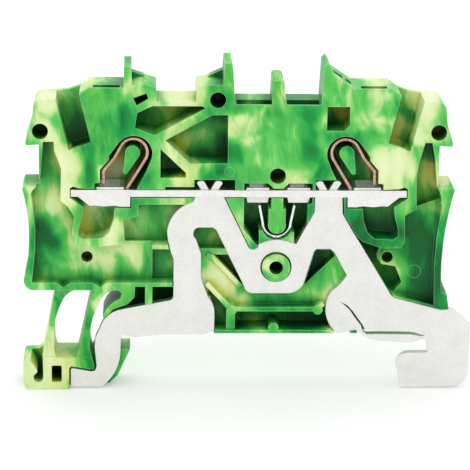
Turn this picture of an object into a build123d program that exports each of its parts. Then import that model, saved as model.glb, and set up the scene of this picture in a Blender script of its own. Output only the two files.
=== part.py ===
from build123d import *
import math
import os

os.makedirs("parts", exist_ok=True)

# A two-wire earth terminal block for a 35 mm rail.
# Origin: middle of the rail, on its top face. X runs across the rail (the block's length),
# Y along the rail (the block's width), Z up. The open side faces -Y.

# Overall sizes
block_length = 48.5
block_height = 32.9
block_width = 5.2
rail_offset = 4.4          # the block's middle is this far left of the rail's middle

# The rail that the block clips to
rail_width = 35.0
rail_flange = 1.0
rail_gap = 0.1

# Housing
rear_wall = 0.8
rib_depth = 1.6            # how far the middle platforms lie behind the open side
clamp_inset = 12.4         # from each end of the block to the crown of its clamp spring
ledge_level = 18.7
lower_rib_level = 6.5
skirt_level = 1.35
socket_radius = 0.9
small_socket_radius = 0.65
peg_clearance = 0.08
peg_height = 1.2
socket_floor = 0.6         # what stays in front of the rear wall under a blind socket
front_wall = 0.25          # in front of the closed ways for wires, tools and jumpers
tool_slot = 1.15
jumper_slot = 2.1
gusset = 1.3               # how thick the gussets behind the marker tabs are

# Current bar
bar_level = 17.5
bar_thickness = 0.8
bar_inset = 5.4            # from each end of the block to the bar's end
bar_setback = 0.1
bar_gap = 0.1
window_near = 1.35         # the wire window, measured outward from the crown
window_far = 3.85
collar_wall = 0.3
collar_rise = 0.22         # how high the windows' rims stand above the bar
collar_drop = 0.75         # how far the jumper windows are drawn below it
skirt_height = 1.15

# Ground plate
plate_thickness = 1.0
plate_setback = 0.35
plate_gap = 0.12
hub_x = -0.1
hub_z = 9.2
hub_hole_radius = 1.75
boss_radius = 1.6
boss_bore = 0.79
lug_height = 1.05
stake_gap = 0.02

# Clamp springs
strip_thickness = 0.35
strip_setback = 0.55
strip_width = 3.3
tongue_narrowing = 0.35    # each side of the leg's tip, to enter the wire window
tip_clearance = 1.0        # from the window's collar to the leg's full width
crown_radius = 1.55
crown_height = 4.25        # crown centre above the bar
leg_start = 105            # degrees round the crown where the moving leg begins
leg_end = 150
foot_angle = -31
split_gap = 0.02

# Jumper spring
jumper_strip = 0.3
jumper_width = 3.0
jumper_radius = 1.55
jumper_rise = 3.65
jumper_drop = 0.4          # from the bar's lower collars to the tops of the legs
jumper_splay = 0.42
jumper_seat_gap = 0.05
jumper_windows = (-2.3, 2.3)
jumper_window_length = 2.0

# Release foot and its two struts
foot_level = -1.5
foot_end = -28.8
web_level = -1.0           # top of the foot's web beside the rail
foot_gap = 0.16
foot_rear = 1.0            # thickness of the foot's rear wall
hook_reach = 0.9           # how far the foot's hook reaches under the rail flange
strut_setback = 0.1

# Places worked out from the sizes above
left_end = -block_length / 2 - rail_offset
right_end = block_length / 2 - rail_offset
front_face = -block_width / 2
back_face = block_width / 2
floor_level = back_face - rear_wall
platform_level = front_face + rib_depth
deck = block_height - 2.85
bridge_level = block_height - 4.4
notch_level = block_height - 4.7
bar_top = bar_level + bar_thickness
bar_front = front_face + bar_setback
bar_back = floor_level - bar_gap
plate_front = front_face + plate_setback
plate_back = plate_front + plate_thickness
strip_front = front_face + strip_setback
strip_back = strip_front + strip_width
rail_edge = -rail_width / 2
left_crown = left_end + clamp_inset
right_crown = right_end - clamp_inset
crown_z = bar_top + crown_height
clamps = (("left", -1, left_crown, left_end), ("right", 1, right_crown, right_end))

front_plane = Plane.XZ.offset(-front_face)
rear_plane = Plane.XZ.offset(-back_face)


def depth_to(level):
    """The extrusion amount that runs from the open side back to this level."""
    return front_face - level


# Ground plate: one flat stamping from the toe on the left to the rail hook on the right
with BuildSketch(front_plane) as plate_outline:
    with BuildLine():
        neck = Polyline((-6.1, bar_level), (-9.3, bar_level), (-9.6, 16.9))
        shoulder = ThreePointArc(neck @ 1, (-11.6, 15.5), (-12.45, 13.4))
        waist = ThreePointArc(shoulder @ 1, (-12.3, 12.1), (-11.7, 10.1))
        instep = Polyline(waist @ 1, (-11.7, 5.5), (-12.0, 5.2), (-17.6, 4.1))
        heel = ThreePointArc(instep @ 1, (-19.15, 3.35), (-19.9, 2.2))
        toe = Polyline(
            heel @ 1, (-20.55, 0.7), (-20.67, -0.4), (-20.45, -2.8), (-20.6, -3.3),
            (-21.0, -3.4), (-23.25, -3.0), (-23.4, -3.2), (-23.4, -5.3), (-19.85, -5.3),
        )
        rail_side = ThreePointArc(toe @ 1, (-18.3, -3.4), (-17.7, -0.9))
        sole = Polyline(
            rail_side @ 1, (-17.65, 1.0), (-16.0, 0.75), (-12.8, 1.1), (-8.3, 1.1),
            (-7.0, 1.5), (-7.0, 3.6),
        )
        calf = ThreePointArc(sole @ 1, (-7.2, 4.7), (-7.75, 5.65))
        shin = Polyline(calf @ 1, (-8.6, 7.9), (-8.6, 10.7), (-9.2, 12.5))
        left_eye = ThreePointArc(shin @ 1, (-9.45, 13.4), (-8.9, 13.85))
        left_arm = Polyline(left_eye @ 1, (-7.3, 13.85), (-6.9, 13.55), (-3.7, 6.95))
        hub_left = ThreePointArc(left_arm @ 1, (-3.4, 6.35), (-2.75, 6.05))
        hub_base = Line(hub_left @ 1, (1.4, 6.05))
        hub_right = ThreePointArc(hub_base @ 1, (2.4, 6.4), (3.05, 7.1))
        right_arm = Polyline(hub_right @ 1, (4.15, 11.0), (4.5, 11.35), (6.0, 11.35), (6.5, 10.95))
        web = Line(right_arm @ 1, (8.0, 8.2))
        calf_right = ThreePointArc(web @ 1, (7.1, 7.0), (6.2, 6.2))
        knee = ThreePointArc(calf_right @ 1, (5.65, 4.3), (7.05, 1.2))
        contact = Polyline(
            knee @ 1, (9.2, 1.6), (10.65, 0.6), (12.0, 0.3), (15.6, 0.12), (17.05, 0.6),
            (17.45, 0.2), (17.45 + rail_gap, -rail_flange - rail_gap), (15.4, -1.15),
        )
        throat = ThreePointArc(contact @ 1, (14.3, -1.65), (13.95, -2.6))
        hook_base = Polyline(throat @ 1, (14.6, -5.35), (20.5, -5.3))
        hook_corner = ThreePointArc(hook_base @ 1, (21.6, -4.85), (22.3, -3.8))
        hook_back = Polyline(
            hook_corner @ 1, (22.3, 2.3), (21.6, 3.0), (20.6, 3.85), (20.1, 4.15)
        )
        brow = Polyline(hook_back @ 1, (18.8, 4.1), (13.7, 5.5))
        thigh = ThreePointArc(brow @ 1, (13.2, 5.8), (12.85, 6.25))
        right_neck = Polyline(
            thigh @ 1, (8.75, 13.1), (7.35, 15.5), (7.25, bar_level), (4.1, bar_level),
            (4.1, 15.7), (2.15, 11.9),
        )
        hub_top = ThreePointArc(right_neck @ 1, (hub_x, 12.45), (-2.15, 11.9))
        left_valley = ThreePointArc(hub_top @ 1, (-2.7, 11.3), (-3.2, 11.5))
        Line(left_valley @ 1, neck @ 0)
    make_face()

# The plate with the cut that frees its springy contact web, and the hole round the boss
cut_start = (7.5, 4.95)
cut_upper = (
    (8.2, 4.55), (8.75, 3.95), (9.25, 3.25), (9.95, 2.25), (10.3, 1.62), (11.6, 1.55),
    (15.5, 1.45), (16.95, 1.0), (17.45, 1.25), (17.68, 1.6), (17.75, 2.6), (18.1, 2.85),
)
cut_lower = (
    (17.95, 2.65), (17.55, 2.5), (17.5, 1.7), (17.3, 1.3), (16.95, 0.85), (15.4, 1.1),
    (11.6, 1.15), (10.45, 1.12), (10.0, 1.45), (9.75, 2.2), (9.0, 3.2), (8.45, 4.05),
)
neck_tabs = ((-8.95, -6.45), (4.3, 6.9))
lug_lean = 0.5
lug_width = 0.85
with BuildPart() as ground_plate:
    with BuildSketch(Plane.XZ.offset(-plate_front)):
        add(plate_outline.sketch)
        with Locations((hub_x, hub_z)):
            Circle(hub_hole_radius, mode=Mode.SUBTRACT)
        with BuildLine():
            Polyline(cut_start, *cut_upper, *cut_lower, close=True)
        make_face(mode=Mode.SUBTRACT)
        for tab_left, tab_right in neck_tabs:
            with Locations(((tab_left + tab_right) / 2, bar_level + bar_thickness / 2)):
                Rectangle(tab_right - tab_left, bar_thickness)
            tab_middle = (tab_left + tab_right) / 2
            for side in (-1, 1):
                root = tab_middle + side * 0.12
                far_root = root + side * lug_width
                with BuildLine():
                    inner_edge = Line((root, bar_top), (root + side * lug_lean, bar_top + lug_height - 0.1))
                    lug_end = ThreePointArc(
                        inner_edge @ 1,
                        (far_root + side * (lug_lean - lug_width / 2), bar_top + lug_height),
                        (far_root + side * lug_lean, bar_top + lug_height - 0.3),
                    )
                    Polyline(lug_end @ 1, (far_root, bar_top), inner_edge @ 0)
                make_face()
    extrude(amount=-plate_thickness)
ground_plate.part.label = "ground_plate"
export_step(ground_plate.part, "parts/ground_plate.step")

# Current bar: a flat strip with two drawn wire windows and two drawn jumper windows
bar_left = left_end + bar_inset
bar_right = right_end - bar_inset
bar_width = bar_back - bar_front
bar_middle_y = (bar_front + bar_back) / 2
window_width = strip_width - 2 * tongue_narrowing + 0.25
window_middle_y = (strip_front + strip_back) / 2
window_length = window_far - window_near
with BuildPart() as current_bar:
    with BuildSketch(Plane.XY.offset(bar_level)):
        with Locations(((bar_left + bar_right) / 2, bar_middle_y)):
            Rectangle(bar_right - bar_left, bar_width)
    extrude(amount=bar_thickness)
    for name, side, crown, end in clamps:
        window_x = crown + side * (window_near + window_far) / 2
        # collar above the bar, then the deeper drawn rim below it
        with BuildSketch(Plane.XY.offset(bar_top)):
            with Locations((window_x, window_middle_y)):
                Rectangle(window_length + 2 * collar_wall, window_width + 2 * collar_wall)
        extrude(amount=collar_rise, taper=8)
        with BuildSketch(Plane.XZ.offset(-bar_front)):
            with BuildLine():
                Polyline(
                    (crown + side * 0.35, bar_level),
                    (crown + side * 0.35, bar_level - skirt_height),
                    (crown + side * 1.4, bar_level - skirt_height),
                    (crown + side * 2.1, bar_level - skirt_height + 0.12),
                    (crown + side * 3.3, bar_level - skirt_height + 0.02),
                    (crown + side * 4.3, bar_level - skirt_height + 0.14),
                    (crown + side * 4.9, bar_level - skirt_height + 0.1),
                    (crown + side * 6.2, bar_level),
                    close=True,
                )
            make_face()
        extrude(amount=-bar_width)
        with BuildSketch(Plane.XY.offset(bar_top + collar_rise)):
            with Locations((window_x, window_middle_y)):
                RectangleRounded(window_length, window_width, 0.3)
        extrude(amount=-(collar_rise + bar_thickness + skirt_height), mode=Mode.SUBTRACT)
    for window_x in jumper_windows:
        with BuildSketch(Plane.XY.offset(bar_top)):
            with Locations((window_x, bar_middle_y)):
                Rectangle(jumper_window_length + 2 * collar_wall, jumper_width + 2 * collar_wall)
        extrude(amount=collar_rise, taper=8)
        with BuildSketch(Plane.XY.offset(bar_level)):
            with Locations((window_x, bar_middle_y)):
                Rectangle(jumper_window_length + 2 * collar_wall, jumper_width + 2 * collar_wall)
        extrude(amount=-collar_drop, taper=12)
        with BuildSketch(Plane.XY.offset(bar_top + collar_rise)):
            with Locations((window_x, bar_middle_y)):
                RectangleRounded(jumper_window_length, jumper_width, 0.3)
        extrude(amount=-(collar_rise + bar_thickness + collar_drop), mode=Mode.SUBTRACT)
    # slots for the plate's two tabs
    with BuildSketch(Plane.XY.offset(bar_level)):
        for tab_left, tab_right in neck_tabs:
            with Locations(((tab_left + tab_right) / 2, (plate_front + plate_back) / 2)):
                Rectangle(tab_right - tab_left + 2 * stake_gap, plate_thickness + 2 * stake_gap)
    extrude(amount=bar_thickness, mode=Mode.SUBTRACT)
current_bar.part.label = "current_bar"
export_step(current_bar.part, "parts/current_bar.step")

# Clamp springs: a fixed crown with its supporting leg, and a moving leg that presses the wire
leg_path = ((2.15, 3.55), (3.35, 2.1), (3.35, 0.55))


def on_crown(crown, side, degrees):
    """A point on the middle line of the strip round the crown, 0 degrees facing inward."""
    angle = math.radians(degrees)
    return (crown - side * crown_radius * math.cos(angle), crown_z + crown_radius * math.sin(angle))


for name, side, crown, end in clamps:
    split_angle = math.degrees(split_gap / crown_radius)
    foot_start = on_crown(crown, side, foot_angle)
    foot_run = (foot_start[1] - bar_top) / math.cos(math.radians(foot_angle))
    foot_x = foot_start[0] + side * foot_run * math.sin(math.radians(-foot_angle))
    with BuildPart() as clamp_spring:
        with BuildSketch(Plane.XZ.offset(-strip_front)):
            with BuildLine():
                arc = ThreePointArc(
                    on_crown(crown, side, leg_start - split_angle),
                    on_crown(crown, side, (leg_start + foot_angle) / 2),
                    foot_start,
                )
                Line(arc @ 1, (foot_x, bar_top))
            trace(line_width=strip_thickness)
        extrude(amount=-strip_width)
        split(bisect_by=Plane.XY.offset(bar_top), keep=Keep.TOP)
    clamp_spring.part.label = "clamp_spring_" + name
    export_step(clamp_spring.part, "parts/clamp_spring_" + name + ".step")

    with BuildPart() as clamp_leg:
        with BuildSketch(Plane.XZ.offset(-strip_front)):
            with BuildLine():
                arc = ThreePointArc(
                    on_crown(crown, side, leg_start),
                    on_crown(crown, side, (leg_start + leg_end) / 2),
                    on_crown(crown, side, leg_end),
                )
                Polyline(arc @ 1, *[(crown + side * out, bar_top + up) for out, up in leg_path])
            trace(line_width=strip_thickness)
        extrude(amount=-strip_width)
        # the tip is narrower, so that it enters the wire window
        tip_height = collar_rise + tip_clearance
        with BuildSketch(Plane.XY.offset(bar_top)):
            for y in (strip_front, strip_back):
                with Locations((crown + side * leg_path[-1][0], y)):
                    Rectangle(3 * strip_thickness, 2 * tongue_narrowing)
        extrude(amount=tip_height, mode=Mode.SUBTRACT)
    clamp_leg.part.label = "clamp_leg_" + name
    export_step(clamp_leg.part, "parts/clamp_leg_" + name + ".step")

# Jumper spring: a U of thin strip below the two jumper windows, its legs free to flex inward
jumper_x = sum(jumper_windows) / 2 - 0.1
jumper_top = bar_level - collar_drop - jumper_drop
jumper_z = jumper_top - jumper_rise + jumper_radius
jumper_front = bar_middle_y - jumper_width / 2
leg_turn = 30
with BuildPart() as jumper_spring:
    with BuildSketch(Plane.XZ.offset(-jumper_front)):
        with BuildLine():
            CenterArc((jumper_x, jumper_z), jumper_radius, 180 + leg_turn, 180 - 2 * leg_turn)
        trace(line_width=jumper_strip)
    extrude(amount=-jumper_width)
jumper_spring.part.label = "jumper_spring"
export_step(jumper_spring.part, "parts/jumper_spring.step")

for name, side in (("left", -1), ("right", 1)):
    first = math.radians(leg_turn - math.degrees(split_gap / jumper_radius))
    middle = math.radians(leg_turn / 2)
    with BuildPart() as jumper_leg:
        with BuildSketch(Plane.XZ.offset(-jumper_front)):
            with BuildLine():
                arc = ThreePointArc(
                    (
                        jumper_x + side * jumper_radius * math.cos(first),
                        jumper_z - jumper_radius * math.sin(first),
                    ),
                    (
                        jumper_x + side * jumper_radius * math.cos(middle),
                        jumper_z - jumper_radius * math.sin(middle),
                    ),
                    (jumper_x + side * jumper_radius, jumper_z),
                )
                Line(arc @ 1, (jumper_x + side * (jumper_radius + jumper_splay), jumper_top))
            trace(line_width=jumper_strip)
        extrude(amount=-jumper_width)
    jumper_leg.part.label = "jumper_leg_" + name
    export_step(jumper_leg.part, "parts/jumper_leg_" + name + ".step")

# Release foot: a block outside the rail, with a web behind the plate that carries the hook
toe_wall = -23.4 - foot_gap
strut_bases = {"outer": (-26.6, -25.05), "inner": (-22.6, -20.97)}
web_front = plate_back + foot_gap
hook_level = -rail_flange - 0.12
hook_tip = rail_edge + hook_reach
with BuildPart() as release_foot:
    with BuildSketch(front_plane):
        with BuildLine():
            toe_corner = Polyline(
                (foot_end, -4.5), (foot_end, -2.25), (foot_end + 0.25, foot_level - 0.5),
                (-27.3, foot_level - 0.5), (-27.0, foot_level - 0.4),
                (strut_bases["outer"][0], foot_level), (strut_bases["outer"][1], foot_level),
                (-24.9, foot_level - 0.15), (-22.75, foot_level - 0.15),
                (strut_bases["inner"][0], foot_level), (strut_bases["inner"][1], foot_level),
                (-20.66, -2.67), (-20.74, -3.01), (-21.06, -3.06), (-23.3, -2.67),
                (toe_wall, -2.9), (toe_wall, -5.5), (-27.8, -5.5),
            )
            ThreePointArc(toe_corner @ 1, (-28.5, -5.2), toe_corner @ 0)
        make_face()
    extrude(amount=-block_width)
    with BuildSketch(Plane.XZ.offset(-web_front)):
        with BuildLine():
            Polyline(
                (-24.5, -2.2), (-22.0, foot_level), (strut_bases["inner"][1] + 0.1, foot_level),
                (strut_bases["inner"][1] + 0.3, web_level),
                (rail_edge - foot_gap, web_level), (rail_edge - foot_gap, hook_level),
                (hook_tip, hook_level), (-18.0, -4.3), (-18.95, -5.25), (-20.5, -5.5), (-24.5, -5.5),
                close=True,
            )
        make_face()
    extrude(amount=-(back_face - web_front))
    # tool pocket with its tooth, open at the top, and a relief pocket beside it
    with BuildSketch(front_plane):
        with BuildLine():
            pocket_wall = Polyline(
                (-27.62, -4.1), (-27.6, -3.8), (-27.2, -3.4), (-27.22, -3.1), (-28.15, -1.75),
                (-28.15, foot_level + 0.2), (-26.55, foot_level + 0.5), (-26.52, -4.1),
            )
            ThreePointArc(pocket_wall @ 1, (-27.07, -4.6), pocket_wall @ 0)
        make_face()
        with Locations((-24.98, -3.58)):
            RectangleRounded(1.15, 2.0, 0.2)
    extrude(amount=depth_to(back_face - foot_rear), mode=Mode.SUBTRACT)
release_foot.part.label = "release_foot"
export_step(release_foot.part, "parts/release_foot.step")

# Two slanting struts that bend like leaf springs between the housing and the foot
strut_shapes = {
    # straight left edge's top; right edge from the bottom up: wall, bend, flare
    "outer": (
        -25.08, (-25.25, -0.7), (-25.27, 1.2), (-24.98, 3.3), (-24.35, 5.0), (-23.7, 6.0), -22.8,
    ),
    "inner": (
        -20.88, (-21.2, -0.4), (-21.2, 0.9), (-20.85, 3.0), (-20.1, 4.95), (-19.4, 5.95), -18.4,
    ),
}
for name, (left_top, *edge, flare_top) in strut_shapes.items():
    base_left, base_right = strut_bases[name]
    with BuildPart() as foot_strut:
        with BuildSketch(Plane.XZ.offset(-front_face - strut_setback)):
            with BuildLine():
                left = Polyline(
                    (left_top, lower_rib_level), (base_left, foot_level), (base_right, foot_level),
                    edge[0], edge[1],
                )
                bend = ThreePointArc(left @ 1, edge[2], edge[3])
                flare = ThreePointArc(bend @ 1, edge[4], (flare_top, lower_rib_level))
                Line(flare @ 1, left @ 0)
            make_face()
        extrude(amount=-(block_width - 2 * strut_setback))
    foot_strut.part.label = "foot_strut_" + name
    export_step(foot_strut.part, "parts/foot_strut_" + name + ".step")

# Housing: a tray with a closed rear wall; ribs and platforms stand up from it to the open side
ear_profile = (
    (7.5, deck), (6.4, deck - 0.8), (5.2, deck - 1.25), (2.4, deck - 1.45), (1.8, deck - 1.6),
    (1.35, deck - 2.1), (1.15, deck - 3.9), (0.4, deck - 6.3), (0.5, deck - 6.6), (1.9, deck - 6.5),
    (1.9, ledge_level), (0.15, ledge_level - 0.05), (0.0, ledge_level - 0.3),
)
left_ear = [(left_end + inset, z) for inset, z in ear_profile]
right_ear = [(right_end - inset, z) for inset, z in ear_profile]
bar_slot_low = bar_level - bar_gap
bar_slot_high = bar_top + bar_gap
bay_level = plate_back + 0.05
rib_top = lower_rib_level + 0.9
notch_depth = 0.6          # of the two V notches over the struts
pocket_floor = front_face + 3.2
lug_room = bar_top + lug_height + 0.2

# Spaces that are alike at both ends: (inset from the block's end, height)
wire_channel = (
    (3.75, deck + 0.5), (3.8, deck - 1.5), (5.2, bar_top + 4.6), (7.7, bar_top + 5.5),
    (6.4, deck - 0.8), (6.4, deck + 0.5),
)
wire_tunnel = (
    (5.35, bar_top + 4.8), (7.5, bar_top + 5.65), (9.9, bar_top + 3.0), (11.05, bar_top - bar_gap),
    (8.55, bar_top - bar_gap), (7.6, bar_top + 1.3),
)
tool_tunnel = (
    (7.9, deck + 0.1), (10.9, deck + 0.1), (10.8, bar_top + 5.6), (9.7, bar_top + 3.4),
    (9.2, bar_top + 4.4),
)
wire_pocket = (
    (6.75, bar_level - 1.1), (6.65, 15.2), (6.2, 13.6), (6.25, 12.9), (6.75, 12.55), (8.9, 12.7),
    (9.7, 13.4), (10.2, 14.8), (10.35, bar_level - 1.1),
)
rim_slot = (
    (5.3, bar_slot_low), (6.9, bar_level - skirt_height - 0.15),
    (12.2, bar_level - skirt_height - 0.15), (12.2, bar_slot_low),
)
over_bar_gap = (
    (5.3, bar_top), (5.3, bar_top + 0.2), (5.7, bar_top + 0.42), (6.3, bar_top + 0.22),
    (8.4, bar_top + 0.12), (8.4, bar_top),
)

# Spaces in the middle: (how far back the floor lies, outline)
left_flank = (
    (left_end + 2.35, 23.85), (left_end + 3.55, 23.9), (left_end + 3.6, 22.85),
    (left_end + 4.35, 20.8), (left_end + 4.25, 17.05), (left_end + 5.05, 16.4),
    (left_end + 5.8, 15.2), (left_end + 5.5, 13.3), (left_end + 5.85, 11.7),
    (left_end + 6.4, 11.5), (left_end + 8.4, 11.65), (-17.6, 11.95), (-14.1, 11.95),
    (-14.1, rib_top), (-19.2, rib_top), (-20.0, rib_top - notch_depth), (-20.9, rib_top),
    (-23.3, rib_top), (-24.15, rib_top - notch_depth), (-25.0, rib_top),
    (left_end + 0.95, rib_top), (left_end + 1.35, 11.3), (left_end + 1.4, 13.7),
    (left_end + 1.2, 15.8), (left_end + 0.95, 17.8), (left_end + 1.1, 18.2),
    (left_end + 1.85, ledge_level + 0.3), (left_end + 2.1, 20.4),
)
right_flank = (
    (14.3, 15.4), (right_end - 4.2, 16.2), (right_end - 1.6, 17.05), (right_end - 1.35, 16.5),
    (right_end - 1.85, 12.9), (right_end - 2.0, 9.3), (right_end - 1.85, 4.7), (13.5, 5.9),
    (14.0, 6.6), (14.4, 7.0), (14.0, 8.0), (13.6, 8.9), (12.0, 9.2), (11.5, 10.0), (11.4, 10.6),
    (11.7, 11.55), (14.0, 11.6), (14.4, 12.3),
)
middle_spaces = (
    (platform_level, left_flank),
    (platform_level, right_flank),
    (platform_level + 1.2, (
        (right_end - 3.55, 23.9), (right_end - 2.75, 23.9), (right_end - 2.35, 21.9),
        (right_end - 2.05, 19.0), (right_end - 1.5, 17.7), (right_end - 1.45, 17.0),
        (right_end - 4.25, 16.0), (right_end - 4.4, 20.1), (right_end - 4.1, 21.8),
    )),
    (floor_level - 0.4, (
        (8.6, 13.35), (9.6, 12.35), (11.7, 11.6), (11.4, 10.6), (11.5, 10.0), (12.0, 9.2),
        (13.6, 8.9), (14.0, 8.0), (14.4, 7.0), (13.5, 5.9), (12.0, 6.2),
    )),
    # lower left: the step beside the plate, the recess over it and two deep spaces under the rib
    (platform_level + 1.0, ((-14.1, rib_top), (-14.1, 11.4), (-9.0, 11.4), (-9.0, rib_top))),
    (platform_level + 1.0, (
        (-15.7, 16.65), (-9.6, 16.65), (-9.6, 11.9), (-17.2, 11.9), (-17.4, 14.8), (-15.7, 15.3),
    )),
    (floor_level, (
        (-16.05, 6.95), (-16.1, 5.7), (-16.9, 4.85), (-18.5, 4.25), (-19.1, 3.6), (-18.0, 2.8),
        (-14.9, 3.0), (-14.9, 6.95),
    )),
    (floor_level, ((-14.1, 6.95), (-11.0, 6.95), (-11.0, 3.0), (-14.1, 3.0))),
    # lightening spaces above the bar
    (floor_level - 0.5, (
        (left_crown + 2.15, bridge_level - 0.5), (-8.6, bridge_level - 0.5),
        (-8.3, bridge_level - 0.75), (left_crown + 2.35, deck - 5.4), (left_crown + 0.15, deck - 4.55),
        (left_crown + 0.4, deck - 2.85), (left_crown + 1.75, deck - 2.2),
    )),
    (floor_level - 0.5, (
        (-12.7, 24.1), (-7.5, deck - 3.05), (-5.75, deck - 3.05), (-5.7, 21.45), (-9.85, 21.4),
        (-10.35, 21.8),
    )),
    (floor_level - 0.5, ((-13.25, 23.1), (-10.4, 20.35), (-10.4, 19.8), (-13.25, 19.75))),
    (floor_level - 0.5, (
        (5.25, deck - 2.05), (right_crown + 0.35, deck - 2.05), (right_crown + 0.35, deck - 4.15),
        (right_crown - 0.25, deck - 4.8), (5.25, deck - 4.8),
    )),
    (floor_level - 1.2, (
        (left_crown - 0.05, deck - 1.15), (left_crown + 1.45, deck - 0.6),
        (left_crown + 1.65, deck - 1.25), (left_crown + 0.35, deck - 2.0),
    )),
    # room over the bar for the staked lugs and the jumper collars, and the gap between them
    (floor_level, ((-12.7, bar_top), (-12.7, bar_top + 0.4), (-9.3, bar_top + 0.4), (-9.3, bar_top))),
    (floor_level, ((-9.45, bar_top), (-9.45, lug_room), (-4.85, lug_room), (-4.85, bar_top))),
    (floor_level, (
        (-3.85, bar_top), (-3.85, bar_top + 0.85), (-1.15, bar_top + 0.85), (-0.8, bar_top + 0.5),
        (-0.55, bar_top + 0.25), (0.55, bar_top + 0.25), (0.8, bar_top + 0.5),
        (1.15, bar_top + 0.85), (3.85, bar_top + 0.85), (3.85, bar_top),
    )),
    (floor_level, ((4.15, bar_top), (4.15, lug_room), (7.35, lug_room), (7.35, bar_top))),
    # the bay behind the plate's lower half, and the spaces sunk into it
    (bay_level, (
        (-9.4, 13.9), (-6.5, 13.9), (-3.3, 7.0), (3.0, 7.0), (4.2, 11.4), (6.6, 11.4),
        (8.2, 8.2), (6.3, 6.0), (5.6, 4.0), (6.4, skirt_level + 0.4), (-7.3, skirt_level + 0.4),
        (-7.2, 5.0), (-8.9, 8.0),
    )),
    (platform_level + 1.2, ((-9.4, 13.8), (-7.1, 13.8), (-5.8, 11.05), (-9.4, 11.05))),
    (platform_level + 1.8, ((-7.1, 10.35), (-5.5, 10.35), (-3.8, 6.9), (-4.2, 6.8), (-7.1, 9.9))),
    (platform_level + 1.0, ((-7.9, 6.6), (-5.65, 3.85), (-5.65, 1.75), (-7.3, 1.75), (-7.3, 5.0))),
    (platform_level + 1.8, ((4.4, 10.95), (6.2, 10.95), (6.65, 10.2), (3.2, 6.7))),
    (floor_level - 1.0, (
        (-4.65, 3.5), (4.7, 3.5), (5.7, 4.2), (6.3, skirt_level + 0.4), (-4.65, skirt_level + 0.4),
    )),
)
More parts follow.
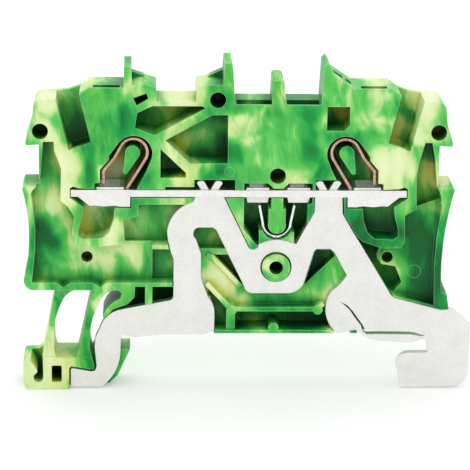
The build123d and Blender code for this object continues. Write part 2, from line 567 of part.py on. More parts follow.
# Raised ribs in the bay: (how far forward, thickness, middle line)
bay_ribs = (
    (front_face + 0.2, 0.5, ((-7.9, 7.2), (-5.15, 4.2), (4.5, 4.2), (5.4, 4.8))),
    (front_face + 0.2, 0.95, ((-5.17, 4.2), (-5.17, skirt_level + 0.2))),
    (plate_back + 0.05 - 0.45, 0.5, ((-7.9, 10.35), (-7.3, 10.2), (-4.05, 6.7))),
)
bay_bosses = ((-5.05, 4.1, 0.55), (4.75, 4.15, 0.55), (-0.25, 1.95, 0.6))
with BuildPart() as housing:
    with BuildSketch(front_plane):
        with BuildLine():
            left_wall = ThreePointArc(
                left_ear[-1], (left_end + 0.7, 13.2), (left_end + 0.05, lower_rib_level + 1.2)
            )
            left_corner = ThreePointArc(
                left_wall @ 1, (left_end + 0.4, lower_rib_level + 0.3), (left_end + 1.2, lower_rib_level)
            )
            lower_rib = Polyline(left_corner @ 1, (-17.9, lower_rib_level), (-17.5, 6.1), (-17.7, 5.5))
            band = ThreePointArc(lower_rib @ 1, (-18.9, 4.65), (-19.7, 3.3))
            underside = Polyline(
                band @ 1, (-19.6, 2.75), (-19.4, 2.45), (-17.2, 2.3), (-16.8, skirt_level),
                (17.3, skirt_level), (right_end - 1.2, 3.95), (right_end - 0.1, 4.1),
                (right_end - 0.4, 6.0), (right_end - 1.05, 6.25),
            )
            ThreePointArc(underside @ 1, (right_end - 0.95, 13.2), right_ear[-1])
            Polyline(
                *reversed(right_ear), (right_crown + 0.7, deck), (right_crown - 1.5, deck + 1.5),
                (right_crown - 1.75, deck + 1.75), (right_crown - 2.05, deck + 2.65),
                (right_crown - 2.3, block_height), (right_crown - 2.65, deck + 2.45),
                (right_crown - 2.85, notch_level),
                (0.7, notch_level), (0.4, deck + 0.7), (0.15, deck + 0.9), (-0.55, deck + 0.9),
                (-0.8, deck + 0.7), (-0.9, notch_level), (-5.0, notch_level),
                (-5.25, deck + 2.1), (-5.4, block_height), (-6.2, block_height),
                (-6.35, deck + 0.3), (-7.9, deck + 0.35), (-9.05, deck + 0.15), (-9.3, deck - 0.1),
                (-9.3, bridge_level), (left_crown + 2.55, bridge_level), (left_crown + 2.5, deck),
                (left_crown + 1.2, deck + 0.4), (left_crown - 0.2, deck + 0.3),
                (left_crown - 0.25, block_height - 0.45), (left_crown - 1.05, block_height - 0.45),
                (left_crown - 1.1, deck), *left_ear,
            )
        make_face()
    extrude(amount=-block_width)

    # gussets behind the two marker tabs, at the rear
    with BuildSketch(Plane.XZ.offset(-(back_face - gusset))):
        with BuildLine():
            Polyline(
                (left_crown - 0.5, deck), (left_crown - 0.5, deck + 1.0), (left_crown - 0.2, deck + 0.95),
                (left_crown + 1.2, deck + 0.5), (left_crown + 1.2, deck),
                close=True,
            )
        make_face()
        with BuildLine():
            Polyline((-6.0, deck), (-6.0, deck + 1.35), (-7.9, deck + 0.5), (-8.2, deck), close=True)
        make_face()
    extrude(amount=-gusset)

    for floor, outline in middle_spaces:
        with BuildSketch(front_plane):
            with BuildLine():
                Polyline(*outline, close=True)
            make_face()
        extrude(amount=depth_to(floor), mode=Mode.SUBTRACT)

    # grooves in the sloping top beside the right tab
    for groove_left, groove_right in ((6.0, 7.0), (7.35, 8.0)):
        slope = (deck + 1.75 - deck) / (right_crown - 1.75 - right_crown - 0.7)
        with BuildSketch(front_plane.offset(-1.6)):
            with BuildLine():
                Polyline(
                    (groove_left, deck + 3), (groove_right, deck + 3),
                    (groove_right, deck - 0.55 + slope * (groove_right - right_crown - 0.7)),
                    (groove_left, deck - 0.55 + slope * (groove_left - right_crown - 0.7)),
                    close=True,
                )
            make_face()
        extrude(amount=-1.6, mode=Mode.SUBTRACT)

    # ribs and small round bosses that stand up in the bay
    for forward, width, middle_line in bay_ribs:
        with BuildSketch(Plane.XZ.offset(-forward)):
            with BuildLine():
                Polyline(*middle_line)
            trace(line_width=width)
        extrude(amount=forward - floor_level)
    with BuildSketch(Plane.XZ.offset(-(front_face + 0.1))):
        for x, z, radius in bay_bosses:
            with Locations((x, z)):
                Circle(radius)
    extrude(amount=front_face + 0.1 - floor_level)

    # the jumper spring's chamber, with the post between its legs and the seat below it
    post_top = jumper_top - 0.2
    seat_level = jumper_z - 0.75
    with BuildSketch(front_plane):
        with BuildLine():
            Polyline(
                (-3.85, bar_slot_low), (-3.85, 13.75), (-2.35, 11.9), (2.0, 11.9), (3.35, 13.75),
                (3.35, 16.6), (3.85, 16.8), (3.85, bar_slot_low),
                close=True,
            )
        make_face()
        with BuildLine():
            Polyline(
                (jumper_x - 2.0, 11.8), (jumper_x - 2.0, seat_level + 0.15), (jumper_x, seat_level),
                (jumper_x + 1.95, seat_level - 0.1), (jumper_x + 1.95, 11.8),
                close=True,
            )
        make_face(mode=Mode.SUBTRACT)
        with Locations((jumper_x, jumper_z)):
            Circle(jumper_radius + jumper_strip / 2 + jumper_seat_gap)
            Circle(jumper_radius - jumper_strip / 2 - 0.4, mode=Mode.SUBTRACT)
        post_half = jumper_radius - jumper_strip / 2 - 0.45
        with Locations((jumper_x, (jumper_z + post_top) / 2)):
            Rectangle(2 * post_half, post_top - jumper_z, mode=Mode.SUBTRACT)
        with Locations((jumper_x, (post_top + bar_slot_low) / 2)):
            Rectangle(1.3, bar_slot_low - post_top, mode=Mode.SUBTRACT)
    extrude(amount=depth_to(floor_level), mode=Mode.SUBTRACT)

    # closed ways for the jumper's prongs, from the notches down to the bar
    for way in (
        ((-4.85, notch_level + 0.1), (-0.85, notch_level + 0.1), (-1.35, bar_top + 2.0),
         (-1.35, bar_top), (-3.25, bar_top), (-3.25, bar_top + 2.0)),
        ((0.75, notch_level + 0.1), (4.55, notch_level + 0.1), (3.25, bar_top + 2.0),
         (3.25, bar_top), (1.35, bar_top), (1.35, bar_top + 2.0)),
    ):
        with BuildSketch(front_plane.offset(-front_wall)):
            with BuildLine():
                Polyline(*way, close=True)
            make_face()
        extrude(amount=-jumper_slot, mode=Mode.SUBTRACT)

    # slot for the bar, and the plate's own recess round the boss
    with BuildSketch(front_plane):
        with Locations(((bar_left + bar_right) / 2, (bar_slot_low + bar_slot_high) / 2)):
            Rectangle(bar_right - bar_left + 2 * bar_gap, bar_slot_high - bar_slot_low)
    extrude(amount=depth_to(floor_level), mode=Mode.SUBTRACT)
    with BuildSketch(front_plane):
        add(plate_outline.sketch)
        offset(amount=plate_gap)
        with Locations((hub_x, hub_z)):
            Circle(boss_radius, mode=Mode.SUBTRACT)
    extrude(amount=depth_to(bay_level), mode=Mode.SUBTRACT)

    for name, side, crown, end in clamps:
        for floor, outline in (
            (floor_level, wire_channel),
            (pocket_floor, wire_pocket),
            (floor_level, rim_slot),
            (floor_level, over_bar_gap),
        ):
            with BuildSketch(front_plane):
                with BuildLine():
                    Polyline(*[(end - side * inset, z) for inset, z in outline], close=True)
                make_face()
            extrude(amount=depth_to(floor), mode=Mode.SUBTRACT)
        # closed ways behind the front wall: the wire's and the tool's
        wire_way_front = window_middle_y - window_width / 2
        for outline, way_front, width in (
            (wire_tunnel, wire_way_front, window_width),
            (tool_tunnel, front_face + front_wall, tool_slot),
        ):
            with BuildSketch(Plane.XZ.offset(-way_front)):
                with BuildLine():
                    Polyline(*[(end - side * inset, z) for inset, z in outline], close=True)
                make_face()
            extrude(amount=-width, mode=Mode.SUBTRACT)
        # chamber of the clamp spring, with a drop-shaped core inside the loop
        with BuildSketch(front_plane):
            with BuildLine():
                inner = Polyline(
                    (crown - side * 0.35, bar_top), (crown - side * 1.45, bar_top + 2.2),
                    (crown - side * 2.0, crown_z - 0.7),
                )
                roof = ThreePointArc(
                    inner @ 1, (crown, crown_z + crown_radius + 0.5), (crown + side * 1.65, crown_z + 1.2)
                )
                Polyline(
                    roof @ 1, (crown + side * 2.75, crown_z - 0.3), (crown + side * 2.75, crown_z - 0.75),
                    (crown + side * 3.75, bar_top + 2.35), (crown + side * 3.75, bar_top + 0.85),
                    (crown + side * 4.35, bar_top + 0.8), (crown + side * 4.35, bar_top),
                    inner @ 0,
                )
            make_face()
            with BuildSketch(mode=Mode.PRIVATE) as core:
                with Locations((crown + side * 0.1, crown_z + 0.1)):
                    Circle(0.82)
                with Locations((crown + side * 0.9, crown_z - 2.1)):
                    Circle(0.25)
                make_hull()
            add(core.sketch, mode=Mode.SUBTRACT)
        extrude(amount=depth_to(floor_level), mode=Mode.SUBTRACT)

    # blind sockets on the open side and pegs behind them, where neighbouring blocks line up
    for x, z, radius in (
        (left_end + 2.05, deck - 5.0, socket_radius),
        (right_end - 2.05, deck - 5.0, socket_radius),
        (-6.9, deck - 1.35, socket_radius),
        (-0.1, 20.0, socket_radius),
        (left_end + 7.15, 10.0, small_socket_radius),
        (right_end - 7.2, 10.0, small_socket_radius),
    ):
        with BuildSketch(front_plane):
            with Locations((x, z)):
                Circle(radius)
        extrude(amount=depth_to(floor_level - socket_floor), mode=Mode.SUBTRACT)
        with BuildSketch(rear_plane):
            with Locations((x, z)):
                Circle(radius - peg_clearance)
        extrude(amount=-peg_height)
    with BuildSketch(front_plane):
        with Locations((hub_x, hub_z)):
            Circle(boss_bore)
    extrude(amount=depth_to(floor_level - socket_floor), mode=Mode.SUBTRACT)
housing.part.label = "housing"
export_step(housing.part, "parts/housing.step")
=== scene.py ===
import math
import bmesh
import bpy
from mathutils import Matrix, Vector


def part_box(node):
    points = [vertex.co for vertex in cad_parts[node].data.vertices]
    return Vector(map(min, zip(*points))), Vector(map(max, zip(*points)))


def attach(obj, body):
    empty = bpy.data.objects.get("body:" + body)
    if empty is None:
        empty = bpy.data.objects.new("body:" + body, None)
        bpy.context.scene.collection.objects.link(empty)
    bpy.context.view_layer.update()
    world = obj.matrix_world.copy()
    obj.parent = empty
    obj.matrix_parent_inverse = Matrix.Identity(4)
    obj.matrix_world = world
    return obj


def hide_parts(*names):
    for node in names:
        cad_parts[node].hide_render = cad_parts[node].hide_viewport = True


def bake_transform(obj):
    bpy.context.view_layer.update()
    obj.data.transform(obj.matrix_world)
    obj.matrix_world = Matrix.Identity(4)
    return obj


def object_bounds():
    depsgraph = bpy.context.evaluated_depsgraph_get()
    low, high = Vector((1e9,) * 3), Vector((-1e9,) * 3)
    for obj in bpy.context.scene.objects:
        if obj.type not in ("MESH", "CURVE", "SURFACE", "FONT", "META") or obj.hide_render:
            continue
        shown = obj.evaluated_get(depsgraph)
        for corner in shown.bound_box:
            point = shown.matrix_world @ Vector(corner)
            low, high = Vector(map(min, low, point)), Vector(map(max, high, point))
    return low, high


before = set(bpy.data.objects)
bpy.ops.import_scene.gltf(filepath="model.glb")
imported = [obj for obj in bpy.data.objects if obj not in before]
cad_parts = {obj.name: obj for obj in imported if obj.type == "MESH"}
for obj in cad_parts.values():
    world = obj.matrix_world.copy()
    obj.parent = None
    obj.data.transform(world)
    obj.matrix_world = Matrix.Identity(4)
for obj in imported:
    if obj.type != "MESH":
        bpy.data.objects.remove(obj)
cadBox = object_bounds()
print("frame loaded:", len(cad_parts), "nodes")

mm = 0.001

cameraSetup = {
    "place": (-0.015654, -0.253185, 0.091236),
    "yaw": 2.4776,           # degrees
    "pitch": 17.303,
    "roll": 0.86,
    "focal": 178.72,         # mm, behind a sensor 36 mm wide
}


def aimCamera(setup):
    yaw, pitch, roll = (math.radians(setup[key]) for key in ("yaw", "pitch", "roll"))
    view = Vector((math.sin(yaw) * math.cos(pitch), math.cos(yaw) * math.cos(pitch), -math.sin(pitch)))
    right = Vector((math.cos(yaw), -math.sin(yaw), 0))
    up = right.cross(view)
    turnedRight = math.cos(roll) * right + math.sin(roll) * up
    turnedUp = math.cos(roll) * up - math.sin(roll) * right
    lens = bpy.data.cameras.new("camera")
    lens.lens = setup["focal"]
    lens.sensor_width = 36
    lens.clip_start = 0.01
    lens.clip_end = 20
    camera = bpy.data.objects.new("camera", lens)
    bpy.context.scene.collection.objects.link(camera)
    turn = Matrix((turnedRight, turnedUp, -view)).transposed()
    camera.matrix_world = Matrix.Translation(setup["place"]) @ turn.to_4x4()
    bpy.context.scene.camera = camera


aimCamera(cameraSetup)
print("camera ready")


def hexColour(code):
    # an sRGB hex value, turned to linear
    channels = []
    for start in (0, 2, 4):
        value = int(code[start:start + 2], 16) / 255
        channels.append(value / 12.92 if value <= 0.04045 else ((value + 0.055) / 1.055) ** 2.4)
    return (*channels, 1.0)


def newMaterial(name):
    material = bpy.data.materials.new(name)
    material.use_nodes = True
    tree = material.node_tree
    return material, tree, tree.nodes["Principled BSDF"]


def addNode(tree, kind, settings=None, **inputs):
    # an input is given by its name, or by i and its number: a map range takes its value at 0, its old
    # range at 1 and 2 and its new one at 3 and 4; a colour mix, its factor at 0 and colours at 6 and 7
    node = tree.nodes.new(kind)
    for key, value in (settings or {}).items():
        if key == "stops":
            stops = node.color_ramp.elements
            while len(stops) < len(value):
                stops.new(0.5)
            for stop, (place, colour) in zip(stops, value):
                stop.position = place
                stop.color = hexColour(colour)
        else:
            setattr(node, key, value)
    for key, value in inputs.items():
        socket = node.inputs[int(key[1:]) if key[1:].isdigit() else key]
        if isinstance(value, bpy.types.NodeSocket):
            tree.links.new(value, socket)
        else:
            socket.default_value = value
    return node


marbling = {
    "streakSize": 4.6,       # mm across one streak of resin
    "warp": 4.0,             # mm that the streaks are pulled about
    "flow": (1.0, 0.4, 0.6),     # how fast the mix changes along x, y and z, slowest along the flow
    "cloudLean": 0.24,       # how far a cloud moves the mix towards its own resin
    "skin": (                # from the greenest mix to the palest
        (0.24, "016228"), (0.37, "0f973f"), (0.50, "5cc056"), (0.60, "c9e09a"), (0.76, "e4ecc2"),
    ),
    "straw": "f2e684",       # some swirls lean to this yellow
    "strawAmount": 0.42,
    "hollowShade": (              # the same mixes, drawn darker and more olive: painted shade in a recess
        (0.36, "03461c"), (0.47, "0a7a2a"), (0.56, "4c9c24"), (0.64, "c0c42c"),
    ),
    "slitShade": "0d2411",      # painted shade, near black, at the bottom of a deep slit or hole
    "hollowReach": 2.8,      # mm, how far off a wall still shuts out light
    "edge": "c9ebbd",        # painted highlight along the moulded corners
    "edgeHighlightWidth": 0.13,       # mm
    "edgeHighlightAmount": 0.45,
    "markWidth": 0.05,       # mm, half the width of a pin mark's line
    "markAmount": 0.16,
    "grainSize": 0.1667,     # mm, several times the mould's real grain, so that it shows
    "gloss": (0.32, 0.46),   # roughness of the satin skin, from its smoothest spots to its dullest
}
# where one resin leads: (x, z, radius in mm, how pale, from -1 green to +1 cream)
clouds = (
    (-25.6, 28.4, 1.6, 0.7), (-26.6, 26.0, 1.6, 0.05), (-23.2, 23.6, 1.5, -0.2), (-20.6, 29.0, 2.0, 0.3),
    (-20.6, 26.2, 1.8, -0.1), (-17.6, 26.6, 2.2, -0.35), (-14.6, 26.6, 2.0, 0.1), (-21.8, 20.6, 1.4, -0.35),
    (-24.0, 21.2, 1.6, 0.6), (-19.2, 20.2, 1.6, 0.6), (-24.6, 17.2, 1.8, 0.6), (-27.6, 19.4, 1.4, 0.2),
    (-25.9, 13.0, 1.9, -0.75), (-27.0, 9.6, 1.8, -0.3), (-22.6, 10.6, 2.0, 0.45), (-19.6, 8.6, 1.6, 0.25),
    (-16.6, 9.8, 1.5, 0.4), (-21.0, 7.2, 1.2, -0.3), (-23.4, 13.6, 1.5, 0.5), (-18.0, 13.4, 1.2, 0.45),
    (-9.8, 28.7, 2.4, 0.45), (-11.4, 22.6, 1.4, 0.15), (-7.4, 20.2, 1.6, -0.2), (-6.4, 23.6, 1.3, -0.4),
    (-5.2, 28.6, 1.4, -0.6), (-3.8, 27.2, 1.0, 0.75), (-2.6, 24.4, 0.9, 0.7), (-2.2, 21.6, 0.9, 0.6),
    (-5.0, 22.6, 1.4, -0.6), (-0.5, 27.2, 1.1, -0.75), (-1.2, 25.2, 0.8, -0.5), (0.6, 23.2, 1.0, 0.85),
    (0.5, 25.0, 0.7, 0.5), (2.4, 26.4, 0.8, 0.75), (3.0, 22.6, 1.7, -0.8), (1.6, 20.0, 1.4, 0.25),
    (5.4, 25.0, 1.6, -0.7), (5.6, 28.2, 1.8, 0.25), (4.6, 20.4, 1.6, -0.5), (9.4, 28.0, 2.6, 0.18),
    (9.6, 25.0, 2.0, 0.25), (12.4, 20.4, 2.6, 0.75), (9.8, 22.0, 1.6, 0.5), (12.6, 27.8, 1.3, -0.5),
    (13.6, 24.6, 1.3, 0.4), (17.0, 28.0, 1.9, 0.75), (15.6, 24.0, 1.2, 0.6), (18.4, 24.6, 1.4, 0.2),
    (16.6, 19.8, 1.6, 0.3), (18.8, 19.0, 1.2, 0.45), (14.6, 12.4, 3.0, -0.9), (17.4, 9.4, 3.2, -1.0),
    (16.4, 5.6, 2.8, -0.9), (9.4, 12.6, 2.2, -0.6), (-6.6, 6.8, 1.9, 0.65), (-4.4, 4.2, 1.8, 0.6),
    (-6.0, 2.6, 1.5, 0.45), (-2.4, 2.0, 1.5, 0.5), (0.6, 4.6, 1.8, -0.5), (3.6, 3.0, 2.4, -0.8),
    (4.6, 7.6, 2.0, -0.6), (-1.4, 9.4, 0.9, 0.7), (1.0, 9.2, 1.0, -0.3), (-15.6, 13.6, 1.6, 0.3),
    (-11.6, 15.0, 1.6, 0.2), (-11.2, 9.8, 1.2, 0.3), (-21.9, 3.4, 1.4, -0.35), (-24.6, 0.6, 1.4, 0.25),
    (-25.6, 4.0, 1.3, -0.1), (-25.0, -2.6, 1.6, 0.15), (-28.0, -3.0, 1.2, -0.2), (-17.8, -2.6, 1.2, -0.5),
    (-16.2, 22.4, 0.9, 0.6), (7.5, 22.4, 0.9, 0.3),
)
# ring marks that the mould's ejector pins left: (x, z, radius in mm)
pinMarks = (
    (-28.0, -2.4, 0.42), (-27.9, -4.9, 0.42), (-24.3, -5.0, 0.42), (-24.4, 5.95, 0.45), (-20.3, 5.95, 0.45),
    (-27.9, 7.3, 0.42), (-5.5, 20.5, 0.55), (15.8, 8.3, 0.75), (18.6, 19.0, 0.35), (-0.1, 9.2, 1.15),
)


def makeMarbledPolyamide(setup):
    # green and yellow polyamide, moulded from a poor mix: the resins swirl under a satin skin, with painted
    # shade in its recesses and a painted highlight along its corners
    material, tree, shader = newMaterial("marbled_polyamide_moulded")
    streakSize = setup["streakSize"]
    place = addNode(tree, "ShaderNodeTexCoord").outputs["Object"]
    inMm = addNode(tree, "ShaderNodeMapping", i0=place, Scale=(1000, 1000, 1000)).outputs[0]
    flow = addNode(
        tree, "ShaderNodeMapping", i0=inMm, Scale=setup["flow"], Rotation=(0, 0.3, 0),
    ).outputs[0]

    # a coarse noise pulls the streaks about
    pull = addNode(
        tree, "ShaderNodeTexNoise", Vector=flow, Scale=0.7 / streakSize, Detail=3.0, Roughness=0.55,
    ).outputs["Color"]
    bothWays = addNode(
        tree, "ShaderNodeVectorMath", {"operation": "SUBTRACT"}, i0=pull, i1=(0.5, 0.5, 0.5),
    ).outputs[0]
    push = addNode(
        tree, "ShaderNodeVectorMath", {"operation": "SCALE"}, i0=bothWays, Scale=setup["warp"],
    ).outputs[0]
    warped = addNode(tree, "ShaderNodeVectorMath", {"operation": "ADD"}, i0=flow, i1=push).outputs[0]
    swirl = addNode(
        tree, "ShaderNodeTexNoise", Vector=warped, Scale=1.0 / streakSize, Detail=2.0, Roughness=0.45,
        Distortion=0.5,
    ).outputs["Fac"]
    mix = addNode(tree, "ShaderNodeMapRange", i0=swirl, i1=0.25, i2=0.75, i3=0.28, i4=0.66).outputs[0]

    # each cloud leans the mix to its own resin, and fades out from its middle
    flat = addNode(
        tree, "ShaderNodeVectorMath", {"operation": "MULTIPLY"}, i0=inMm, i1=(1, 0.3, 1),
    ).outputs[0]
    pulled = addNode(tree, "ShaderNodeVectorMath", {"operation": "ADD"}, i0=flat, i1=push).outputs[0]
    for x, z, radius, lean in clouds:
        gap = addNode(
            tree, "ShaderNodeVectorMath", {"operation": "DISTANCE"}, i0=pulled, i1=(x, 0, z),
        ).outputs["Value"]
        near = addNode(
            tree, "ShaderNodeMapRange", {"interpolation_type": "SMOOTHSTEP"},
            i0=gap, i1=radius * 0.4, i2=radius * 1.5, i3=lean * setup["cloudLean"], i4=0.0,
        ).outputs[0]
        mix = addNode(tree, "ShaderNodeMath", {"operation": "ADD"}, i0=mix, i1=near).outputs[0]

    # fine threads of resin are drawn out along the flow
    drawn = addNode(tree, "ShaderNodeMapping", i0=warped, Scale=(1.6, 1.0, 0.7)).outputs[0]
    thread = addNode(
        tree, "ShaderNodeTexNoise", Vector=drawn, Scale=2.4 / streakSize, Detail=3.0, Roughness=0.6,
        Distortion=1.2,
    ).outputs["Fac"]
    threadLean = addNode(
        tree, "ShaderNodeMapRange", i0=thread, i1=0.3, i2=0.7, i3=-0.045, i4=0.045,
    ).outputs[0]
    mix = addNode(tree, "ShaderNodeMath", {"operation": "ADD"}, i0=mix, i1=threadLean).outputs[0]
    skin = addNode(tree, "ShaderNodeValToRGB", {"stops": setup["skin"]}, i0=mix).outputs[0]

    # some swirls are straw yellow
    warm = addNode(
        tree, "ShaderNodeTexNoise", Vector=warped, Scale=0.55 / streakSize, Detail=2.0, Roughness=0.5,
    ).outputs["Fac"]
    warmAmount = addNode(
        tree, "ShaderNodeMapRange", i0=warm, i1=0.5, i2=0.68, i3=0.0, i4=setup["strawAmount"],
    ).outputs[0]
    golden = addNode(
        tree, "ShaderNodeMix", {"data_type": "RGBA", "blend_type": "MULTIPLY"},
        i0=warmAmount, i6=skin, i7=hexColour(setup["straw"]),
    ).outputs[2]

    # painted shade: where the walls shut out light, the mix is drawn darker and more olive, and near black at
    # the bottom of a tight slit
    openness = addNode(
        tree, "ShaderNodeAmbientOcclusion", {"samples": 6, "only_local": True},
        Distance=setup["hollowReach"] * mm,
    ).outputs["AO"]
    hollowShade = addNode(
        tree, "ShaderNodeMapRange", i0=openness, i1=0.78, i2=0.5, i3=0.0, i4=0.96,
    ).outputs[0]
    hollowShadeColour = addNode(tree, "ShaderNodeValToRGB", {"stops": setup["hollowShade"]}, i0=mix).outputs[0]
    hollowShaded = addNode(
        tree, "ShaderNodeMix", {"data_type": "RGBA"}, i0=hollowShade, i6=golden, i7=hollowShadeColour,
    ).outputs[2]
    # painted shade: near black where a slit or hole is deep and tight
    slitShade = addNode(
        tree, "ShaderNodeMapRange", i0=openness, i1=0.3, i2=0.06, i3=0.0, i4=0.85,
    ).outputs[0]
    slitShaded = addNode(
        tree, "ShaderNodeMix", {"data_type": "RGBA"}, i0=slitShade, i6=hollowShaded, i7=hexColour(setup["slitShade"]),
    ).outputs[2]

    # painted highlight: a pale line along every moulded corner that stands in the open, where the light would
    # catch it
    rounded = addNode(
        tree, "ShaderNodeBevel", {"samples": 6}, Radius=setup["edgeHighlightWidth"] * mm,
    ).outputs[0]
    normal = addNode(tree, "ShaderNodeNewGeometry").outputs["Normal"]
    along = addNode(
        tree, "ShaderNodeVectorMath", {"operation": "DOT_PRODUCT"}, i0=rounded, i1=normal,
    ).outputs["Value"]
    corner = addNode(
        tree, "ShaderNodeMapRange", i0=along, i1=0.99, i2=0.88, i3=0.0, i4=setup["edgeHighlightAmount"],
    ).outputs[0]
    inOpen = addNode(
        tree, "ShaderNodeMapRange", i0=openness, i1=0.35, i2=0.6, i3=0.0, i4=1.0,
    ).outputs[0]
    highlightAndPinMarks = addNode(tree, "ShaderNodeMath", {"operation": "MULTIPLY"}, i0=corner, i1=inOpen).outputs[0]

    # the pins left faint rings, on the open side only
    upright = addNode(
        tree, "ShaderNodeVectorMath", {"operation": "MULTIPLY"}, i0=inMm, i1=(1, 0, 1),
    ).outputs[0]
    marks = 0.0
    for x, z, radius in pinMarks:
        gap = addNode(
            tree, "ShaderNodeVectorMath", {"operation": "DISTANCE"}, i0=upright, i1=(x, 0, z),
        ).outputs["Value"]
        ring = addNode(
            tree, "ShaderNodeMath", {"operation": "COMPARE"}, i0=gap, i1=radius, i2=setup["markWidth"],
        ).outputs[0]
        marks = addNode(tree, "ShaderNodeMath", {"operation": "ADD"}, i0=ring, i1=marks).outputs[0]
    depth = addNode(tree, "ShaderNodeSeparateXYZ", i0=inMm).outputs["Y"]
    inFront = addNode(tree, "ShaderNodeMath", {"operation": "LESS_THAN"}, i0=depth, i1=0.0).outputs[0]
    marks = addNode(tree, "ShaderNodeMath", {"operation": "MULTIPLY"}, i0=marks, i1=inFront).outputs[0]
    faint = addNode(
        tree, "ShaderNodeMath", {"operation": "MULTIPLY"}, i0=marks, i1=setup["markAmount"],
    ).outputs[0]
    # the painted highlight and the pin marks' faint rings are joined here
    highlightAndPinMarks = addNode(tree, "ShaderNodeMath", {"operation": "MAXIMUM"}, i0=highlightAndPinMarks, i1=faint).outputs[0]
    final = addNode(
        tree, "ShaderNodeMix", {"data_type": "RGBA"}, i0=highlightAndPinMarks, i6=slitShaded, i7=hexColour(setup["edge"]),
    ).outputs[2]
    tree.links.new(final, shader.inputs["Base Color"])

    # a fine grain breaks up the gloss
    grain = addNode(
        tree, "ShaderNodeTexNoise", Vector=inMm, Scale=1 / setup["grainSize"], Detail=3.0, Roughness=0.6,
    ).outputs["Fac"]
    smoothest, dullest = setup["gloss"]
    roughness = addNode(
        tree, "ShaderNodeMapRange", i0=grain, i1=0.3, i2=0.7, i3=smoothest, i4=dullest,
    ).outputs[0]
    tree.links.new(roughness, shader.inputs["Roughness"])
    grained = addNode(
        tree, "ShaderNodeBump", Strength=0.12, Distance=0.02 * mm, Height=grain,
    ).outputs[0]
    ringed = addNode(
        tree, "ShaderNodeBump", Strength=0.5, Distance=0.04 * mm, Height=marks, Normal=grained,
    ).outputs[0]
    tree.links.new(ringed, shader.inputs["Normal"])
    shader.inputs["IOR"].default_value = 1.53        # polyamide
    shader.inputs["Specular IOR Level"].default_value = 0.2
    return material


def makeMetal(setup):
    # broad clouds and fine grain vary a metal's tone, its gloss and its surface together
    material, tree, shader = newMaterial(setup["name"])
    place = addNode(tree, "ShaderNodeTexCoord").outputs["Object"]
    inMm = addNode(
        tree, "ShaderNodeMapping", i0=place, Scale=tuple(1000 * along for along in setup["stretch"]),
    ).outputs[0]
    cloud = addNode(
        tree, "ShaderNodeTexNoise", Vector=inMm, Scale=1 / setup["cloudSize"], Detail=5.0, Roughness=0.6,
    ).outputs["Fac"]
    grain = addNode(
        tree, "ShaderNodeTexNoise", Vector=inMm, Scale=1 / setup["grainSize"], Detail=2.0, Roughness=0.7,
    ).outputs["Fac"]
    blended = addNode(
        tree, "ShaderNodeMix", {"data_type": "FLOAT"}, i0=0.45, i2=cloud, i3=grain,
    ).outputs[0]
    dark, middle, bright = setup["tones"]
    tone = addNode(
        tree, "ShaderNodeValToRGB", {"stops": ((0.36, dark), (0.5, middle), (0.64, bright))}, i0=blended,
    ).outputs[0]
    tree.links.new(tone, shader.inputs["Base Color"])
    shader.inputs["Metallic"].default_value = 1.0
    smoothest, dullest = setup["gloss"]
    roughness = addNode(
        tree, "ShaderNodeMapRange", i0=blended, i1=0.35, i2=0.65, i3=smoothest, i4=dullest,
    ).outputs[0]
    tree.links.new(roughness, shader.inputs["Roughness"])
    bump = addNode(tree, "ShaderNodeBump", Strength=0.1, Distance=0.01 * mm, Height=blended).outputs[0]
    tree.links.new(bump, shader.inputs["Normal"])
    return material


# sizes are in mm, and each grain is drawn far coarser than the real one, so that it shows
tinnedPlate = {              # stamped copper, matt tinned: a pale, cloudy, chalky sheen
    "name": "copper_plate_matt_tinned", "tones": ("dededa", "e5e5e1", "ebebe7"), "gloss": (0.46, 0.54),
    "cloudSize": 2.222, "grainSize": 0.3333, "stretch": (1, 1, 1),
}
tinnedBar = {                # the bar's tin is drawn over its rims, which leaves it a little glossier
    "name": "copper_bar_matt_tinned", "tones": ("dcdcd8", "e6e6e2", "efefec"), "gloss": (0.34, 0.46),
    "cloudSize": 2.222, "grainSize": 0.3333, "stretch": (1, 1, 1),
}
rolledSpring = {             # chrome nickel strip, rolled and tempered: a warm, coppery gloss in streaks
    "name": "chrome_nickel_strip_rolled", "tones": ("9c7562", "c09682", "dcbba8"), "gloss": (0.22, 0.36),
    "cloudSize": 2.222, "grainSize": 0.25, "stretch": (1, 0.12, 1),
}
brightSpring = {             # bright rolled strip: a nearly white, sharp gloss in streaks
    "name": "spring_strip_bright_rolled", "tones": ("dcdcda", "ececea", "f6f6f4"), "gloss": (0.18, 0.3),
    "cloudSize": 2.222, "grainSize": 0.25, "stretch": (1, 0.12, 1),
}
marbledPolyamide = makeMarbledPolyamide(marbling)
mattTinPlate = makeMetal(tinnedPlate)
mattTinBar = makeMetal(tinnedBar)
rolledSpringStrip = makeMetal(rolledSpring)
brightSpringStrip = makeMetal(brightSpring)
print("materials ready")


def addPiece(name, shape, material, body=None, nodes=(), smoothAngle=32):
    mesh = bpy.data.meshes.new(name)
    shape.to_mesh(mesh)
    shape.free()
    mesh.materials.append(material)
    for face in mesh.polygons:
        face.use_smooth = True
    mesh.set_sharp_from_angle(angle=math.radians(smoothAngle))
    piece = bpy.data.objects.new(name, mesh)
    bpy.context.scene.collection.objects.link(piece)
    if nodes:
        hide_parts(*nodes)
    if body:
        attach(piece, body)
    return piece


def mergedCopy(node):
    # a CAD node is loose triangles: they are joined, and flat faces made whole
    shape = bmesh.new()
    shape.from_mesh(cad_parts[node].data)
    bmesh.ops.remove_doubles(shape, verts=shape.verts, dist=0.002 * mm)
    bmesh.ops.dissolve_limit(
        shape, angle_limit=math.radians(0.4), verts=shape.verts, edges=shape.edges,
        use_dissolve_boundaries=False,
    )
    return shape


def roundEdges(piece, width, angle=38):
    bevel = piece.modifiers.new("edges", "BEVEL")
    bevel.width = width * mm
    bevel.segments = 2
    bevel.limit_method = "ANGLE"
    bevel.angle_limit = math.radians(angle)


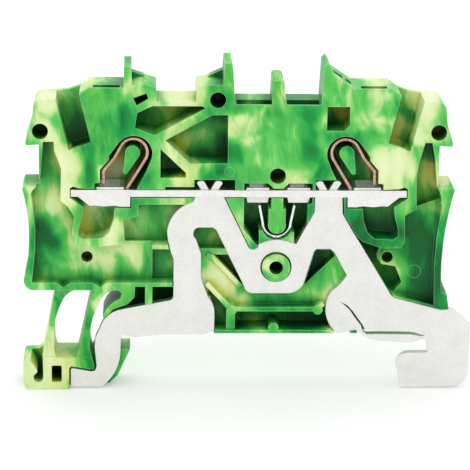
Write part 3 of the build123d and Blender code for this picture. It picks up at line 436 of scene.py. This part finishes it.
housing = {"edge": 0.07}         # mm, the width of its rounded edges, as on each piece below
releaseFoot = {"edge": 0.09}
groundPlate = {"edge": 0.09}
currentBar = {"edge": 0.06}
piece = addPiece(
    "marbled_housing", mergedCopy("housing"), marbledPolyamide, "block", ("housing",),
)
roundEdges(piece, housing["edge"])
piece = addPiece(
    "marbled_release_foot", mergedCopy("release_foot"), marbledPolyamide, "foot", ("release_foot",),
)
roundEdges(piece, releaseFoot["edge"])
piece = addPiece(
    "stamped_ground_plate", mergedCopy("ground_plate"), mattTinPlate, "block", ("ground_plate",),
)
roundEdges(piece, groundPlate["edge"])
piece = addPiece(
    "stamped_current_bar", mergedCopy("current_bar"), mattTinBar, "block", ("current_bar",),
)
roundEdges(piece, currentBar["edge"])
print("moulded and stamped pieces ready")

struts = {"edge": 0.09, "slices": 12}        # each strut is cut across into slices
for side in ("outer", "inner"):
    node = "foot_strut_" + side
    shape = mergedCopy(node)
    low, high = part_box(node)
    for cut in range(1, struts["slices"]):
        height = low.z + (high.z - low.z) * cut / struts["slices"]
        bmesh.ops.bisect_plane(
            shape, geom=shape.verts[:] + shape.edges[:] + shape.faces[:],
            plane_co=(0, 0, height), plane_no=(0, 0, 1), dist=1e-7,
        )
    bmesh.ops.recalc_face_normals(shape, faces=shape.faces)
    piece = addPiece("bending_strut_" + side, shape, marbledPolyamide, None, (node,))
    roundEdges(piece, struts["edge"])
    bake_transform(piece)
print("struts ready")


def stripShape(start, moves, front, back):
    # a strip's middle line is drawn in x and z, then widened along y
    shape = bmesh.new()
    tip = shape.verts.new((start[0], front, start[1]))
    for move in moves:
        if move[0] == "line":
            _, x, z, parts = move
            origin = tip.co.copy()
            goal = Vector((x, front, z))
            for part in range(1, parts + 1):
                made = bmesh.ops.extrude_vert_indiv(shape, verts=[tip])
                tip = made["verts"][0]
                tip.co = origin.lerp(goal, part / parts)
        else:
            _, x, z, angle, parts = move
            made = bmesh.ops.spin(
                shape, geom=[tip], cent=(x, front, z), axis=(0, 1, 0), angle=math.radians(angle), steps=parts,
            )
            tip = [item for item in made["geom_last"] if isinstance(item, bmesh.types.BMVert)][0]
    bmesh.ops.remove_doubles(shape, verts=shape.verts, dist=1e-7)
    made = bmesh.ops.extrude_edge_only(shape, edges=shape.edges[:])
    wide = [item for item in made["geom"] if isinstance(item, bmesh.types.BMVert)]
    bmesh.ops.translate(shape, verts=wide, vec=(0, back - front, 0))
    bmesh.ops.recalc_face_normals(shape, faces=shape.faces)
    return shape


def addStrip(name, shape, thickness, material, slotName, nodes, bendsTo, start, end):
    # the wall gives the strip its thickness
    piece = addPiece(name, shape, material, None, nodes, 60)
    wall = piece.modifiers.new("wall", "SOLIDIFY")
    wall.thickness = thickness * mm
    wall.offset = 0
    wall.use_even_offset = True
    roundEdges(piece, 0.05, 50)
    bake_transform(piece)


clampStrip = {
    "thickness": 0.35,       # mm, as are the other lengths here
    "radius": 1.55,          # of the crown's middle line
    "inset": 12.4,           # from the housing's end to the crown's centre
    "crownRise": 4.25,       # from the bar's top to the crown's centre
    "rearAngle": -31,        # degrees, where the rear leg leaves the crown
    "legAngle": 150,         # degrees, where the pressing leg leaves it
    "leg": ((2.15, 3.55), (3.35, 2.1), (3.35, 0.55)),    # out from the crown, and up from the bar's top
    "bendStart": (-0.6, 1.0),    # out and up from the crown's centre, in radii
    "bendEnd": (1.1, 0.5),
    "collarRise": 0.22,      # what the bar's collars stand over its flat top
}
housingLow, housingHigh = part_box("housing")
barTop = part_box("current_bar")[1].z - clampStrip["collarRise"] * mm
for name, side, end in (("left", -1, housingLow.x), ("right", 1, housingHigh.x)):
    crownX = end - side * clampStrip["inset"] * mm
    crownZ = barTop + clampStrip["crownRise"] * mm
    radius = clampStrip["radius"] * mm
    legLow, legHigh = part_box("clamp_leg_" + name)
    rearAngle = math.radians(clampStrip["rearAngle"])
    startX = crownX - side * radius * math.cos(rearAngle)
    startZ = crownZ + radius * math.sin(rearAngle)
    baseX = startX - side * (startZ - barTop) * math.tan(rearAngle)
    sweep = clampStrip["legAngle"] - clampStrip["rearAngle"]
    moves = [("line", startX, startZ, 6), ("arc", crownX, crownZ, side * sweep, 30)]
    for out, up in clampStrip["leg"]:
        moves.append(("line", crownX + side * out * mm, barTop + up * mm, 5))
    bendPlaces = [
        (crownX + side * radius * out, 0, crownZ + radius * up)
        for out, up in (clampStrip["bendStart"], clampStrip["bendEnd"])
    ]
    addStrip(
        "clamp_strip_" + name, stripShape((baseX, barTop), moves, legLow.y, legHigh.y),
        clampStrip["thickness"], rolledSpringStrip, "spring_steel",
        ("clamp_spring_" + name, "clamp_leg_" + name), name + "_clamp", *bendPlaces,
    )

jumperStrip = {
    "thickness": 0.3,        # mm, as are the other lengths here
    "radius": 1.55,          # of the seat's middle line
    "splay": 0.42,           # how far each leg leans out at its tip
    "bendStart": (0.6, -0.8),    # out and up from the seat's centre, in radii
    "bendEnd": (1.0, 0.2),
}
legLow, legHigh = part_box("jumper_leg_left")
springLow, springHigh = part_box("jumper_spring")
radius = jumperStrip["radius"] * mm
seatX = (springLow.x + springHigh.x) / 2
seatZ = springLow.z + (jumperStrip["radius"] + jumperStrip["thickness"] / 2) * mm
for name, side in (("left", -1), ("right", 1)):
    tipX = seatX + side * (jumperStrip["radius"] + jumperStrip["splay"]) * mm
    moves = [("arc", seatX, seatZ, -side * 90, 16), ("line", tipX, legHigh.z, 8)]
    nodes = ("jumper_leg_" + name,) + (("jumper_spring",) if side < 0 else ())
    bendPlaces = [
        (seatX + side * radius * out, 0, seatZ + radius * up)
        for out, up in (jumperStrip["bendStart"], jumperStrip["bendEnd"])
    ]
    addStrip(
        "jumper_strip_" + name, stripShape((seatX, seatZ - radius), moves, legLow.y, legHigh.y),
        jumperStrip["thickness"], brightSpringStrip, "bright_spring", nodes, name + "_contact", *bendPlaces,
    )
print("springs ready")

studio = {
    "floorTone": "d6d6d6",
    "floorGlow": 0.27,
    "sky": 1.0,
    "lamps": {               # where each stands, what it aims at, its size and its watts
        "key": ((-0.22, -0.3, 0.42), (0, 0, 0.01), 0.35, 0.45),
        "top": ((0.0, 0.12, 0.5), (0, 0, 0.02), 0.3, 0.5),
        "fill": ((0.35, -0.45, 0.25), (0, 0, 0.01), 0.4, 0.2),
    },
}


def makeFloor(setup, level):
    # studio paper, matt and rolled out flat: an even pale ground
    material, _, shader = newMaterial("studio_paper")
    shader.inputs["Base Color"].default_value = hexColour(setup["floorTone"])
    shader.inputs["Roughness"].default_value = 0.9
    shader.inputs["Emission Color"].default_value = (1, 1, 1, 1)
    shader.inputs["Emission Strength"].default_value = setup["floorGlow"]
    shape = bmesh.new()
    bmesh.ops.create_grid(
        shape, x_segments=1, y_segments=1, size=3.0, matrix=Matrix.Translation((0, 0, level)),
    )
    addPiece("studio_floor", shape, material)


def makeLamp(name, place, aim, size, watts):
    lamp = bpy.data.lights.new(name, "AREA")
    lamp.energy = watts
    lamp.size = size
    light = bpy.data.objects.new(name, lamp)
    light.location = place
    light.rotation_euler = (Vector(aim) - Vector(place)).to_track_quat("-Z", "Y").to_euler()
    bpy.context.scene.collection.objects.link(light)


makeFloor(studio, cadBox[0][2])
for name, lamp in studio["lamps"].items():
    makeLamp(name, *lamp)
sky = bpy.data.worlds.new("studio")
sky.use_nodes = True
backdrop = sky.node_tree.nodes["Background"]
backdrop.inputs["Color"].default_value = (1, 1, 1, 1)
backdrop.inputs["Strength"].default_value = studio["sky"]
bpy.context.scene.world = sky
bpy.context.scene.view_settings.view_transform = "Standard"
print("studio ready")
